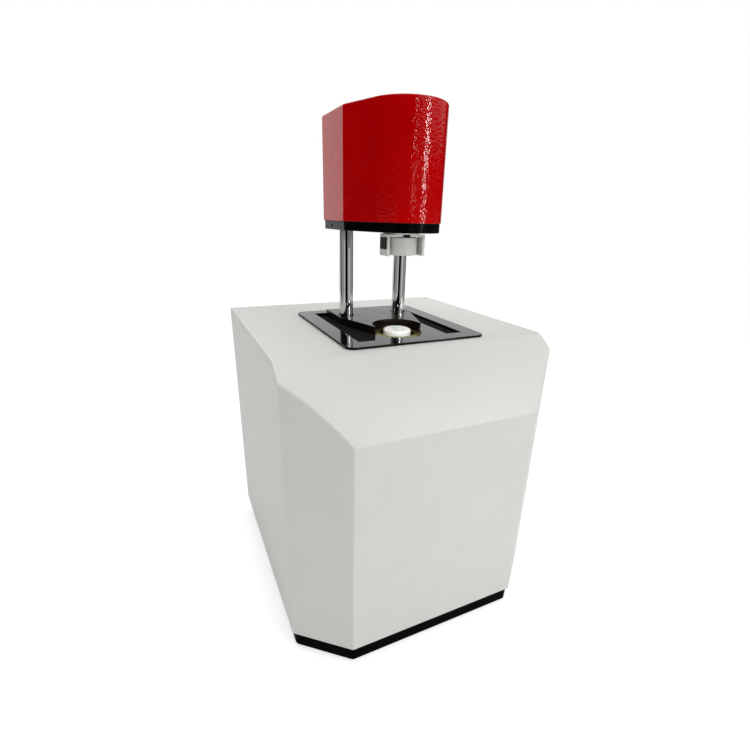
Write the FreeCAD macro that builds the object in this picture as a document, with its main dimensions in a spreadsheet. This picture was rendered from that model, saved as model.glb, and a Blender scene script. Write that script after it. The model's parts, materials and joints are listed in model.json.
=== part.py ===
import FreeCAD, Part
import Sketcher
import math
import os

# Rotational paste viscometer: a heated block in the casing holds a can and its paddle, and a
# motor head on two ground columns is pushed down so that its spindle takes the paddle.
# Origin: centre of the footprint on the bench. +X right, -Y front, +Z up. Millimetres.

SIZES = {
    # Casing, seen from the front, and the sheet it is folded from
    "casing_width": 300,
    "casing_depth": 310,
    "casing_height": 293.2,
    "front_width": 199,
    "cheek_depth": 44,
    "sheet_thickness": 1.5,
    "seam_gap": 0.3,
    "flange_width": 14,
    "front_edge": 3,
    # Sloping front: a tight bend off the flat top, then one long curve down to the crease
    "slope_start": 68,
    "slope_bend_radius": 16,
    "slope_radius": 208,
    "slope_angle": 34,
    # Base tray and feet
    "tray_height": 19.5,
    "tray_inset": 3.5,
    "tray_wall": 3,
    "tray_corner": 6,
    "tray_edge": 1.5,
    "foot_height": 2.5,
    "foot_radius": 12,
    "foot_pin_radius": 4,
    "foot_inset": 28,
    # Spill tray let into the top, and the deck plate standing in it
    "rim_width": 157,
    "rim_rear": 245,
    "rim_front": 68,
    "rim_thickness": 1.7,
    "rim_corner": 9,
    "rim_edge": 0.5,
    "seal_thickness": 0.8,
    "recess_width": 120,
    "recess_rear": 228,
    "recess_front": 86,
    "recess_depth": 2.9,
    "recess_wall": 2,
    "deck_width": 92,
    "deck_rear": 224,
    "deck_kink": 174.5,
    "deck_nose_width": 57,
    "deck_front": 119.4,
    "deck_thickness": 8.1,
    "deck_edge": 0.5,
    "notch_radius": 27,
    "wiper_width": 1.2,
    "wiper_height": 3,
    # Spindle axis and lift columns. Like the tray, deck and head, they are set from the front
    "axis_from_front": 121.7,
    "column_from_front": 186.7,
    "column_spacing": 68.4,
    "column_radius": 8,
    "head_travel": 80.5,
    "running_clearance": 0.04,
    "free_clearance": 0.4,
    # Lift frame inside the casing
    "top_plate_width": 150,
    "top_plate_thickness": 10,
    "top_plate_rear": 238,
    "top_plate_front": 74,
    "post_radius": 7,
    "post_spacing": 124,
    "post_reach": 25,
    "bearing_radius": 14,
    "bearing_length": 37,
    "bearing_flange_radius": 20,
    "bearing_flange": 5,
    "bearing_collar": 7.5,
    "guide_plate_thickness": 12,
    "guide_plate_margin": 12,
    "yoke_thickness": 15,
    "yoke_depth": 32,
    "buffer_radius": 13,
    "buffer_height": 6,
    "buffer_gap": 0.3,
    "gas_cylinder_radius": 10,
    "gas_bore_radius": 8,
    "gas_rod_radius": 4,
    "gas_gland": 8,
    "gas_engaged": 30,
    "gas_piston": 8,
    "gas_foot_radius": 16,
    "gas_foot_height": 5,
    # Heated block, can and paddle
    "block_radius": 26,
    "block_height": 73.1,
    "block_sink": 0.5,
    "block_floor": 6,
    "block_split": 1,
    "block_edge": 0.6,
    "can_radius": 19,
    "can_wall": 0.8,
    "can_height": 60,
    "can_clearance": 0.3,
    "heater_thickness": 1.2,
    "heater_height": 40,
    "insulation_radius": 31,
    "housing_radius": 34,
    "housing_floor": 5,
    "housing_flange_radius": 42,
    "housing_flange": 4,
    "sensor_radius": 1.5,
    "sensor_length": 36,
    "cap_radius": 15.2,
    "cap_height": 6.7,
    "cap_proud": 4.2,
    "cap_edge": 2.6,
    "paddle_stem_radius": 2.5,
    "paddle_blade_width": 26,
    "paddle_blade_height": 20,
    "paddle_blade_thickness": 1.6,
    # Motor head
    "head_gap": 94.9,
    "head_width": 103.6,
    "head_rear": 213,
    "head_kink": 150,
    "head_nose_radius": 39.7,
    "head_plate_thickness": 8.5,
    "head_plate_inset": 1.2,
    "plate_edge": 0.5,
    "head_seal": 0.6,
    "cover_height": 102.4,
    "cover_wall": 2,
    "cover_edge": 2,
    "cover_corner": 2.5,
    "motor_width": 42.3,
    "motor_length": 40,
    "motor_corner": 5,
    "motor_mount_height": 30,
    "motor_mount_wall": 4,
    "motor_shaft_radius": 2.5,
    "motor_shaft_spare": 9,
    "encoder_radius": 16,
    "encoder_thickness": 1.2,
    "coupler_radius": 9.5,
    "coupler_height": 20,
    "spindle_radius": 4,
    "spindle_housing_radius": 13,
    "spindle_flange_radius": 18,
    "spindle_flange": 4,
    "ball_bearing_radius": 11,
    "ball_bearing_height": 7,
    "boss_drop": 3,
    # Coupling cup, its guard and the release button
    "cup_radius": 16.6,
    "cup_bore_radius": 15.4,
    "cup_depth": 5,
    "cup_height": 17,
    "cup_edge": 0.6,
    "cup_lift": 0.5,
    "guard_radius": 21,
    "guard_wall": 2.5,
    "guard_reach": 12.7,
    "guard_height": 20.4,
    "guard_step": 1.9,
    "window_start": -4.2,
    "window_length": 13.6,
    "window_low": 6.2,
    "window_height": 11.4,
    "foot_notch": 3,
    "button_proud": 1,
    "button_shoulder": 0.5,
    "button_lip": 0.7,
    # Services at the rear
    "fan_size": 80,
    "fan_depth": 25,
    "fan_height": 170,
    "fan_from_side": 72,
    "grille_width": 62,
    "inlet_height": 62,
    "inlet_from_side": 62,
    "switch_from_side": 108,
    "rocker_swing": 12,
    "rocker_reach": 7.4,
    "inlet_width": 27,
    "inlet_tall": 20,
    "inlet_depth": 22,
    "inlet_flange": 4,
    "switch_width": 19,
    "switch_tall": 13,
    "switch_depth": 15,
    "switch_flange": 1.5,
    "port_offset": 0,
    "port_width": 12,
    "port_tall": 11,
    "port_depth": 16,
    "stub_from_side": 88,
    "stub_spacing": 32,
    "stub_height": 110,
    "stub_radius": 4,
    "stub_bore_radius": 2.75,
    "stub_length": 24,
    "stub_collar_radius": 8,
    "stub_collar": 4,
    "stub_nut": 6,
    "stub_shank": 14,
    "slot_length": 64,
    "slot_height": 4,
    "slot_pitch": 10,
    "slot_count": 7,
    "slot_start": 205,
    "clamp_screw_radius": 1.9,
    "clamp_screw_length": 7,
    "screw_radius": 1.5,
    "screw_head_radius": 2.9,
    "screw_head_height": 1.8,
    "screw_length": 8,
    # Electronics
    "board_width": 150,
    "board_depth": 70,
    "board_thickness": 1.6,
    "board_from_front": 60,
    "chip_width": 26,
    "chip_height": 4,
    "chip_margin": 10,
    "capacitor_radius": 7,
    "capacitor_height": 22,
    "connector_depth": 9,
    "connector_height": 11,
    "connector_margin": 3,
    "standoff_height": 12,
    "standoff_inset": 5,
    "standoff_radius": 3,
    "supply_width": 50,
    "supply_depth": 110,
    "supply_height": 40,
    "supply_from_side": 20,
    "supply_from_rear": 32,
}


class Size:
    """A length that carries its number and the sheet formula that gives it."""

    def __init__(self, number, formula):
        self.number = number
        self.formula = formula

    def join(self, other, sign, number):
        return Size(number, f"({self.formula} {sign} {other.formula})")

    def __add__(self, other):
        other = as_size(other)
        return self.join(other, "+", self.number + other.number)

    def __sub__(self, other):
        other = as_size(other)
        return self.join(other, "-", self.number - other.number)

    def __mul__(self, other):
        other = as_size(other)
        return self.join(other, "*", self.number * other.number)

    def __truediv__(self, other):
        other = as_size(other)
        return self.join(other, "/", self.number / other.number)

    def __radd__(self, other):
        return as_size(other) + self

    def __rsub__(self, other):
        return as_size(other) - self

    def __rmul__(self, other):
        return as_size(other) * self

    def __rtruediv__(self, other):
        return as_size(other) / self

    def __neg__(self):
        return Size(-self.number, f"(-1 * {self.formula})")


def as_size(item):
    if isinstance(item, Size):
        return item
    return Size(float(item), repr(float(item)))


def root(item):
    return Size(math.sqrt(item.number), f"sqrt({item.formula})")


def sine(angle):
    return Size(math.sin(math.radians(angle.number)), f"sin({angle.formula})")


def cosine(angle):
    return Size(math.cos(math.radians(angle.number)), f"cos({angle.formula})")


class Sheet:
    """The driving dimensions as cells, read back as attributes."""

    def __init__(self, document, values):
        cells = document.addObject("Spreadsheet::Sheet", "sizes")
        for row, (name, value) in enumerate(values.items(), start=1):
            cells.set(f"A{row}", name)
            cells.set(f"B{row}", str(value))
            cells.setAlias(f"B{row}", name)
            setattr(self, name, Size(float(value), f"sizes.{name}"))


doc = FreeCAD.newDocument("viscometer")
size = Sheet(doc, SIZES)
doc.recompute()
pieces = []


def bind(thing, path, value):
    thing.setExpression(path, as_size(value).formula)


# Sketch drawing

def disc(across, up, radius):
    """A full circle for a sketch."""
    return ("disc", as_size(across), as_size(up), as_size(radius))


def rectangle(left, low, right, high):
    return [(left, low), (right, low), (right, high), (left, high)]


def arc_through(start, end, radius):
    """The arc from start to end, drawn counter-clockwise round its own centre."""
    (ax, ay), (bx, by) = start, end
    chord = math.hypot(bx - ax, by - ay)
    rise = math.sqrt(max(radius * radius - chord * chord / 4, 0))
    centre = FreeCAD.Vector((ax + bx) / 2 - (by - ay) / chord * rise, (ay + by) / 2 + (bx - ax) / chord * rise, 0)
    first = math.atan2(ay - centre.y, ax - centre.x)
    last = math.atan2(by - centre.y, bx - centre.x)
    circle = Part.Circle(centre, FreeCAD.Vector(0, 0, 1), radius)
    return Part.ArcOfCircle(circle, first, last)


def hold(sketch, kind, *where, value):
    index = sketch.addConstraint(Sketcher.Constraint(kind, *where, as_size(value).number))
    bind(sketch, f"Constraints[{index}]", value)


def draw_disc(sketch, outline):
    centre = FreeCAD.Vector(outline[1].number, outline[2].number, 0)
    edge = sketch.addGeometry(Part.Circle(centre, FreeCAD.Vector(0, 0, 1), outline[3].number), False)
    hold(sketch, "DistanceX", edge, 3, value=outline[1])
    hold(sketch, "DistanceY", edge, 3, value=outline[2])
    hold(sketch, "Radius", edge, value=outline[3])


def draw_corners(sketch, corners):
    """A closed outline, drawn counter-clockwise. A corner is (across, up), or
    (across, up, radius) where an arc that bulges outward runs on to the next corner."""
    spots = [(as_size(corner[0]), as_size(corner[1])) for corner in corners]
    edges = []
    for index, corner in enumerate(corners):
        start = [value.number for value in spots[index]]
        end = [value.number for value in spots[(index + 1) % len(spots)]]
        if len(corner) == 3:
            edges.append(sketch.addGeometry(arc_through(start, end, as_size(corner[2]).number), False))
        else:
            line = Part.LineSegment(FreeCAD.Vector(*start, 0), FreeCAD.Vector(*end, 0))
            edges.append(sketch.addGeometry(line, False))
    for index, edge in enumerate(edges):
        following = edges[(index + 1) % len(edges)]
        sketch.addConstraint(Sketcher.Constraint("Coincident", edge, 2, following, 1))
        hold(sketch, "DistanceX", edge, 1, value=spots[index][0])
        hold(sketch, "DistanceY", edge, 1, value=spots[index][1])
        if len(corners[index]) == 3:
            hold(sketch, "Radius", edge, value=corners[index][2])


class Piece:
    """One body, built up from sketches on its own planes. Along Z a sketch reads (x, y),
    along X it reads (y, z), and along Y it reads (x, z)."""

    PLANES = {"Z": "XY_Plane", "X": "YZ_Plane", "Y": "XZ_Plane"}

    def __init__(self, label):
        self.label = label
        self.body = doc.addObject("PartDesign::Body", label)
        self.body.Label = label
        pieces.append(self.body)

    def sketch(self, outlines, along, start, length):
        drawing = self.body.newObject("Sketcher::SketchObject", f"{self.label}_sketch")
        for feature in self.body.Origin.OriginFeatures:
            if feature.Role == self.PLANES[along]:
                drawing.AttachmentSupport = (feature, "")
        drawing.MapMode = "FlatFace"
        level = -1 * (as_size(start) + length) if along == "Y" else start
        bind(drawing, "AttachmentOffset.Base.z", level)
        for outline in outlines:
            if outline[0] == "disc":
                draw_disc(drawing, outline)
            else:
                draw_corners(drawing, outline)
        return drawing

    def pad(self, outlines, start, length, along="Z"):
        feature = self.body.newObject("PartDesign::Pad", f"{self.label}_pad")
        feature.Profile = self.sketch(outlines, along, start, length)
        bind(feature, "Length", length)
        return self

    def pocket(self, outlines, start, length, along="Z"):
        doc.recompute()
        before = self.body.Shape.Volume
        feature = self.body.newObject("PartDesign::Pocket", f"{self.label}_pocket")
        feature.Profile = self.sketch(outlines, along, start, length)
        feature.Reversed = True
        bind(feature, "Length", length)
        doc.recompute()
        if self.body.Shape.Volume >= before:
            raise RuntimeError(f"{self.label}: a pocket cuts nothing")
        return self

    def turn(self, corners):
        """A turned form from its (radius, height) outline, about the piece's own Z axis."""
        feature = self.body.newObject("PartDesign::Revolution", f"{self.label}_turned")
        drawing = self.sketch([corners], "Y", 0, 0)
        feature.Profile = drawing
        feature.ReferenceAxis = (drawing, ["V_Axis"])
        feature.Angle = 360
        return self

    def edges(self, chosen):
        doc.recompute()
        shape = self.body.Tip.Shape
        return [f"Edge{index + 1}" for index, edge in enumerate(shape.Edges) if chosen(edge)]

    def fillet(self, radius, chosen):
        names = self.edges(chosen)
        base = self.body.Tip
        feature = self.body.newObject("PartDesign::Fillet", f"{self.label}_fillet")
        feature.Base = (base, names)
        bind(feature, "Radius", radius)
        return self

    def row(self, count, length, axis):
        """Repeats the last feature along one of its sketch's axes."""
        original = self.body.Tip
        feature = self.body.newObject("PartDesign::LinearPattern", f"{self.label}_row")
        feature.Originals = [original]
        feature.Direction = (original.Profile[0], [axis])
        bind(feature, "Length", length)
        bind(feature, "Occurrences", count)
        self.body.Tip = feature
        return self

    def ring(self, count):
        """Repeats the last feature round the piece's own Z axis."""
        original = self.body.Tip
        feature = self.body.newObject("PartDesign::PolarPattern", f"{self.label}_ring")
        feature.Originals = [original]
        axis = [item for item in self.body.Origin.OriginFeatures if item.Role == "Z_Axis"][0]
        feature.Axis = (axis, [""])
        feature.Angle = 360
        feature.Occurrences = count
        self.body.Tip = feature
        return self

    def place(self, across=0, along=0, up=0, rotation=None):
        if rotation:
            self.body.Placement.Rotation = rotation
        bind(self.body, "Placement.Base.x", across)
        bind(self.body, "Placement.Base.y", along)
        bind(self.body, "Placement.Base.z", up)
        return self


def upright(edge):
    """Whether an edge is straight and vertical."""
    box = edge.BoundBox
    return box.XLength < 0.001 and box.YLength < 0.001 and box.ZLength > 0.1


def level_at(height):
    """A test for the edges that lie flat at one height."""
    number = as_size(height).number

    def lies_flat(edge):
        box = edge.BoundBox
        return abs(box.ZMin - number) < 0.001 and abs(box.ZMax - number) < 0.001

    return lies_flat


# Levels and places that several pieces share

half_width = size.casing_width / 2
rear_y = (size.casing_depth - size.stub_length) / 2
front_y = rear_y - size.casing_depth


def from_front(distance):
    return front_y + distance


def from_side(distance):
    """A place across the casing, by its distance in from the right side."""
    return half_width - distance


floor_top = size.foot_height + size.tray_wall
case_base = size.foot_height + size.tray_height
case_top = case_base + size.casing_height
rim_top = case_top + size.seal_thickness + size.rim_thickness
recess_floor = rim_top - size.recess_depth
deck_top = recess_floor + size.deck_thickness
axis_y = from_front(size.axis_from_front)
column_y = from_front(size.column_from_front)
column_x = size.column_spacing / 2
plate_top = recess_floor - size.recess_wall
plate_base = plate_top - size.top_plate_thickness
head_base = deck_top + size.head_gap
head_plate_top = head_base + size.head_plate_thickness
cover_base = head_plate_top + size.head_seal
cover_top = cover_base + size.cover_height


def pair(radius, clearance=0):
    """Two circles, one round each column."""
    return [disc(side * column_x, column_y, radius + clearance) for side in (-1, 1)]


# Casing

def plan_outline(inset, rear):
    """The casing's footprint with its two cheeks, moved inwards by an inset."""
    across = half_width - size.front_width / 2
    along = size.cheek_depth
    length = root(across * across + along * along)
    side_shift = inset * (length - along) / across
    front_shift = inset * (length - across) / along
    side_x = half_width - inset
    side_y = from_front(size.cheek_depth) + side_shift
    front_x = size.front_width / 2 - front_shift
    ahead = front_y + inset
    return [
        (-side_x, rear),
        (-side_x, side_y),
        (-front_x, ahead),
        (front_x, ahead),
        (side_x, side_y),
        (side_x, rear),
    ]


def slope_centres():
    """Centres, as (y, z), of the tight bend and of the long curve below it."""
    bend = (from_front(size.slope_start), case_top - size.slope_bend_radius)
    reach = size.slope_radius - size.slope_bend_radius
    long_curve = (bend[0] + reach * sine(size.slope_angle), bend[1] - reach * cosine(size.slope_angle))
    return bend, long_curve


def side_outline(inset, low, front):
    """The casing's side view, inset from the outer skin, ending at a front line."""
    bend, long_curve = slope_centres()
    bend_radius = size.slope_bend_radius - inset
    long_radius = size.slope_radius - inset
    offset = long_curve[0] - front
    crease = long_curve[1] + root(long_radius * long_radius - offset * offset)
    joint_y = bend[0] - bend_radius * sine(size.slope_angle)
    joint_z = bend[1] + bend_radius * cosine(size.slope_angle)
    return [
        (rear_y, low),
        (rear_y, case_top - inset),
        (bend[0], case_top - inset, bend_radius),
        (joint_y, joint_z, long_radius),
        (front, crease),
        (front, low),
    ]


def rim_window(margin):
    """The opening in the casing top that the spill tray drops through."""
    reach = size.recess_wall + margin
    return rectangle(
        -size.recess_width / 2 - reach,
        from_front(size.recess_front) - reach,
        size.recess_width / 2 + reach,
        from_front(size.recess_rear) + reach,
    )


def is_front_edge(edge):
    """Whether an edge is on the outer skin and runs up from, or along, the front face."""
    box = edge.BoundBox
    return box.YMin < front_y.number + 0.001 and box.ZMax > case_base.number + 1


def make_front_cover():
    """Top, slope, front and both cheeks, folded from one sheet, with a foot flange."""
    sheet = size.sheet_thickness
    cover = Piece("front_cover")
    cover.pad([side_outline(0, case_base, front_y)], -half_width, size.casing_width, along="X")
    cheek_y = from_front(size.cheek_depth)
    corner_x = size.front_width / 2
    beyond = half_width + 1
    ahead = front_y - 1
    slant = (half_width - corner_x) / (cheek_y - front_y)
    low_x = corner_x - slant
    high_y = cheek_y + 1 / slant
    right = [(low_x, ahead), (beyond, ahead), (beyond, high_y)]
    left = [(-beyond, high_y), (-beyond, ahead), (-low_x, ahead)]
    cover.pocket([right, left], case_base - 1, size.casing_height + 2)
    doc.recompute()
    solid = cover.body.Tip
    open_faces = []
    for index, face in enumerate(solid.Shape.Faces):
        box = face.BoundBox
        flat_side = box.XLength < 0.001
        rear_side = box.YLength < 0.001 and box.YMax > 0
        under_side = box.ZLength < 0.001 and box.ZMax < case_base.number + 1
        if flat_side or rear_side or under_side:
            open_faces.append(f"Face{index + 1}")
    shell = cover.body.newObject("PartDesign::Thickness", "front_cover_sheet")
    shell.Base = (solid, open_faces)
    bind(shell, "Value", sheet)
    shell.Reversed = True
    shell.Mode = 0
    shell.Join = 1
    cover.fillet(size.front_edge, is_front_edge)
    lip =plan_outline(sheet / 2, cheek_y - size.flange_width)
    hollow = plan_outline(size.flange_width, cheek_y - size.flange_width)
    flange = lip[1:5]
    opening = hollow[1:5]
    corners = [lip[1], lip[2], lip[3], lip[4], opening[3], opening[2], opening[1], opening[0]]
    cover.pad([corners], case_base, sheet)
    cover.pocket([rim_window(size.free_clearance)], case_top - 5, 10)
    return cover


def make_side_panel(label, side):
    """A flat side sheet with a flange folded in along its foot and its rear edge."""
    sheet = size.sheet_thickness
    inset = sheet + size.seam_gap
    across = half_width - size.front_width / 2
    along = size.cheek_depth
    slanted = sheet * root(across * across + along * along) / across
    front = from_front(size.cheek_depth) + slanted + size.seam_gap
    panel = Piece(label)
    start = -half_width if side < 0 else half_width - sheet
    outline = side_outline(inset, case_base, front)
    panel.pad([outline], start, sheet, along="X")
    inner = -half_width if side < 0 else half_width - size.flange_width
    foot_front = front + size.flange_width / 2
    foot = rectangle(foot_front, case_base, rear_y - size.flange_width - 2, case_base + sheet)
    panel.pad([foot], inner, size.flange_width, along="X")
    front_tab = rectangle(front, case_base + 2 * sheet, front + sheet, outline[4][1] - 2 * sheet)
    panel.pad([front_tab], inner, size.flange_width, along="X")
    tab_rear = rear_y - sheet - size.seam_gap
    rear_tab = rectangle(tab_rear - sheet, case_base + size.flange_width, tab_rear, case_top - size.flange_width)
    panel.pad([rear_tab], inner, size.flange_width, along="X")
    spots = [disc(x, z, size.screw_radius + 0.1) for x, z in rear_screw_places() if (x.number < 0) == (side < 0)]
    panel.pocket(spots, tab_rear - sheet - 1, sheet + 1.5, along="Y")
    return panel


def rear_screw_places():
    """Screws down both edges of the rear panel, as (x, z)."""
    edge = half_width - size.flange_width / 2
    low = case_base + 2 * size.flange_width
    high = case_top - 2 * size.flange_width
    return [(side * edge, level) for side in (-1, 1) for level in (low, (low + high) / 2, high)]


def make_rear_panel():
    """The rear sheet between the side panels, with its cut-outs."""
    sheet = size.sheet_thickness
    edge = half_width - sheet - size.seam_gap
    top = case_top - sheet - size.seam_gap
    panel = Piece("rear_panel")
    panel.pad([rectangle(-edge, case_base, edge, top)], rear_y - sheet, sheet, along="Y")
    flange = rectangle(-edge + size.flange_width, case_base, edge - size.flange_width, case_base + sheet)
    panel.pad([flange], rear_y - size.flange_width, size.flange_width, along="Y")
    inlet = rectangle(*inlet_box(size.free_clearance))
    rocker = rectangle(*switch_box(size.free_clearance))
    port = rectangle(*port_box(size.free_clearance))
    stubs = [disc(x, stub_z, size.stub_radius + 1 + size.free_clearance) for x in stub_places]
    screws = [disc(x, z, size.screw_radius + 0.1) for x, z in rear_screw_places()]
    panel.pocket([inlet, rocker, port] + stubs + screws, rear_y - sheet - 1, sheet + 2, along="Y")
    first = rectangle(
        -fan_x - size.slot_length / 2,
        case_base + size.slot_start,
        -fan_x + size.slot_length / 2,
        case_base + size.slot_start + size.slot_height,
    )
    panel.pocket([first], rear_y - sheet - 1, sheet + 2, along="Y")
    panel.row(size.slot_count, size.slot_pitch * (size.slot_count - 1), "V_Axis")
    low = case_base + size.fan_height - size.grille_width / 2
    grille = rectangle(
        fan_x - size.grille_width / 2,
        low,
        fan_x + size.grille_width / 2,
        low + size.slot_height,
    )
    panel.pocket([grille], rear_y - sheet - 1, sheet + 2, along="Y")
    panel.row(size.slot_count, size.slot_pitch * (size.slot_count - 1), "V_Axis")
    return panel


inlet_z = case_base + size.inlet_height
stub_z = case_base + size.stub_height
stub_places = [side * size.stub_spacing / 2 - from_side(size.stub_from_side) for side in (-1, 1)]
fan_x = from_side(size.fan_from_side)
inlet_x = -from_side(size.inlet_from_side)
switch_x = -from_side(size.switch_from_side)


def service_box(across, width, height, margin):
    """The body of a rear socket or switch behind the panel, as left, low, right, high."""
    return (
        across - width / 2 - margin,
        inlet_z - height / 2 - margin,
        across + width / 2 + margin,
        inlet_z + height / 2 + margin,
    )


def inlet_box(margin):
    return service_box(inlet_x, size.inlet_width, size.inlet_tall, margin)


def switch_box(margin):
    return service_box(switch_x, size.switch_width, size.switch_tall, margin)


def port_box(margin):
    return service_box(size.port_offset, size.port_width, size.port_tall, margin)


def make_base():
    """Shallow black tray under the casing, with its four rubber feet."""
    tray = Piece("base_tray")
    outer = plan_outline(size.tray_inset, rear_y - size.tray_inset)
    tray.pad([outer], size.foot_height, size.tray_height)
    tray.fillet(size.tray_corner, upright)
    tray.fillet(size.tray_edge, level_at(size.foot_height))
    inset = size.tray_inset + size.tray_wall
    inner = plan_outline(inset, rear_y - inset)
    tray.pocket([inner], floor_top, size.tray_height)
    sockets = [disc(x, y, size.foot_pin_radius + 0.1) for x, y in foot_places()]
    tray.pocket(sockets, size.foot_height - 1, size.tray_wall + 2)
    feet = Piece("rubber_feet")
    feet.pad([disc(x, y, size.foot_radius) for x, y in foot_places()], 0, size.foot_height)
    feet.fillet(size.foot_height / 4, level_at(0))
    feet.pad([disc(x, y, size.foot_pin_radius) for x, y in foot_places()], size.foot_height, size.tray_wall)
    return tray


def foot_places():
    back = rear_y - size.foot_inset
    ahead = front_y + size.foot_inset
    wide = half_width - size.foot_inset
    narrow = size.front_width / 2 - size.foot_inset / 2
    return [(-wide, back), (wide, back), (-narrow, ahead), (narrow, ahead)]


# Spill tray and deck

def rim_outline(inset):
    half = size.rim_width / 2 - inset
    return rectangle(-half, from_front(size.rim_front) + inset, half, from_front(size.rim_rear) - inset)


def make_spill_tray():
    """Glossy rim on the casing top with a sunk floor, cut open for the columns and the block."""
    tray = Piece("spill_tray")
    rim_base = case_top + size.seal_thickness
    tray.pad([rim_outline(0)], rim_base, size.rim_thickness)
    tray.fillet(size.rim_corner, upright)
    tray.pad([rim_window(0)], plate_top, rim_base - plate_top)
    recess = rim_window(-1 * size.recess_wall)
    tray.pocket([recess], recess_floor, size.recess_depth + 1)
    holes = pair(size.column_radius, 1) + [disc(0, axis_y, size.notch_radius)]
    tray.pocket(holes, plate_top - 1, size.recess_wall + 2)
    tray.fillet(size.rim_edge, level_at(rim_top))
    seal = Piece("tray_seal")
    seal.pad([rim_outline(1)], case_top, size.seal_thickness)
    seal.fillet(size.rim_corner - 1, upright)
    seal.pocket([rim_window(size.free_clearance)], case_top - 1, size.seal_thickness + 2)
    return tray


def make_deck():
    """Thick plate in the tray that guides the columns and is notched round the can."""
    deck = Piece("deck_plate")
    half = size.deck_width / 2
    nose = size.deck_nose_width / 2
    outline = [
        (-half, from_front(size.deck_rear)),
        (-half, from_front(size.deck_kink)),
        (-nose, from_front(size.deck_front)),
        (nose, from_front(size.deck_front)),
        (half, from_front(size.deck_kink)),
        (half, from_front(size.deck_rear)),
    ]
    deck.pad([outline], recess_floor, size.deck_thickness)
    deck.pocket([disc(0, axis_y, size.notch_radius)], recess_floor - 1, size.deck_thickness + 2)
    deck.pocket(pair(size.column_radius, 0.3), recess_floor - 1, size.deck_thickness + 2)
    deck.pocket(pair(size.column_radius, size.wiper_width + 0.05), deck_top - size.wiper_height, size.wiper_height + 1)
    deck.fillet(size.deck_edge, level_at(deck_top))
    wipers = Piece("wiper_rings")
    seat = pair(size.column_radius, size.wiper_width)
    bore = pair(size.column_radius, size.running_clearance)
    height = size.wiper_height - size.deck_edge
    wipers.pad([seat[0], bore[0], seat[1], bore[1]], deck_top - size.wiper_height, height)
    return deck


# Lift frame

def post_outlines(clearance=0):
    spots = []
    for side in (-1, 1):
        for reach in (-1, 1):
            spot_y = column_y + reach * size.post_reach
            spots.append(disc(side * size.post_spacing / 2, spot_y, size.post_radius + clearance))
    return spots


upper_bearing_base = plate_base - size.bearing_length
yoke_top = upper_bearing_base - size.buffer_height
yoke_base = yoke_top - size.yoke_thickness
lower_bearing_top = yoke_base - size.head_travel - size.buffer_height
guide_base = lower_bearing_top - size.bearing_flange - size.guide_plate_thickness - size.bearing_collar
column_base = lower_bearing_top - size.bearing_length - 2


def make_lift_frame():
    plate = Piece("top_plate")
    half = size.top_plate_width / 2
    front = from_front(size.top_plate_front)
    rear = from_front(size.top_plate_rear)
    plate.pad([rectangle(-half, front, half, rear)], plate_base, size.top_plate_thickness)
    holes = pair(size.column_radius, 1) + [disc(0, axis_y, size.notch_radius)]
    plate.pocket(holes, plate_base - 1, size.top_plate_thickness + 2)
    posts = Piece("frame_posts")
    posts.pad(post_outlines(), floor_top, plate_base - floor_top)
    guide = Piece("lower_guide_plate")
    margin = size.guide_plate_margin
    half = size.post_spacing / 2 + margin
    reach = size.post_reach + margin
    guide.pad([rectangle(-half, column_y - reach, half, column_y + reach)], guide_base, size.guide_plate_thickness)
    holes = post_outlines(0.1) + pair(size.bearing_radius, 0.1)
    holes.append(disc(0, column_y, size.gas_cylinder_radius + 1))
    guide.pocket(holes, guide_base - 1, size.guide_plate_thickness + 2)


def make_bearings(label, low, flange_low):
    """A pair of flanged ball bushings."""
    bearings = Piece(label)
    body = pair(size.bearing_radius)
    bore = pair(size.column_radius, size.running_clearance)
    bearings.pad([body[0], bore[0], body[1], bore[1]], low, size.bearing_length)
    flange = pair(size.bearing_flange_radius)
    rim = pair(size.bearing_radius, -0.5)
    bearings.pad([flange[0], rim[0], flange[1], rim[1]], flange_low, size.bearing_flange)


def make_buffers(label, low, clearance):
    buffers = Piece(label)
    outer = pair(size.buffer_radius)
    inner = pair(size.column_radius, clearance)
    buffers.pad([outer[0], inner[0], outer[1], inner[1]], low, size.buffer_height - size.buffer_gap)


def make_columns():
    """Ground columns, from inside the head plate down past the lower bushings."""
    for label, side in (("column_left", -1), ("column_right", 1)):
        column = Piece(label)
        length = head_plate_top - column_base
        column.pad([disc(side * column_x, column_y, size.column_radius)], column_base, length)
        column.fillet(1, level_at(column_base))


def make_yoke():
    yoke = Piece("lift_yoke")
    half = column_x + 20
    deep = size.yoke_depth / 2
    yoke.pad([rectangle(-half, column_y - deep, half, column_y + deep)], yoke_base, size.yoke_thickness)
    yoke.fillet(6, upright)
    holes = pair(size.column_radius, 0.02) + [disc(0, column_y, size.gas_rod_radius + 0.05)]
    yoke.pocket(holes, yoke_base - 1, size.yoke_thickness + 2)


gas_base = floor_top + size.gas_foot_height
gas_top = lower_bearing_top


def make_gas_spring():
    """Gas spring that carries the head: cylinder on the tray floor, rod up to the yoke."""
    cylinder = Piece("gas_spring_cylinder")
    foot = size.gas_foot_radius
    outer = size.gas_cylinder_radius
    bore = size.gas_bore_radius
    neck = size.gas_rod_radius + size.running_clearance
    cylinder.turn([
        (0, floor_top),
        (foot, floor_top),
        (foot, gas_base),
        (outer, gas_base),
        (outer, gas_top),
        (neck, gas_top),
        (neck, gas_top - size.gas_gland),
        (bore, gas_top - size.gas_gland),
        (bore, gas_base + 4),
        (0, gas_base + 4),
    ])
    cylinder.place(0, column_y)
    rod = Piece("gas_spring_rod")
    piston = bore - 0.05
    piston_base = gas_top - size.gas_gland - size.gas_engaged
    rod.turn([
        (0, piston_base),
        (piston, piston_base),
        (piston, piston_base + size.gas_piston),
        (size.gas_rod_radius, piston_base + size.gas_piston),
        (size.gas_rod_radius, yoke_base),
        (size.gas_rod_radius, yoke_top),
        (0, yoke_top),
    ])
    rod.place(0, column_y)


# Heated block

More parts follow.
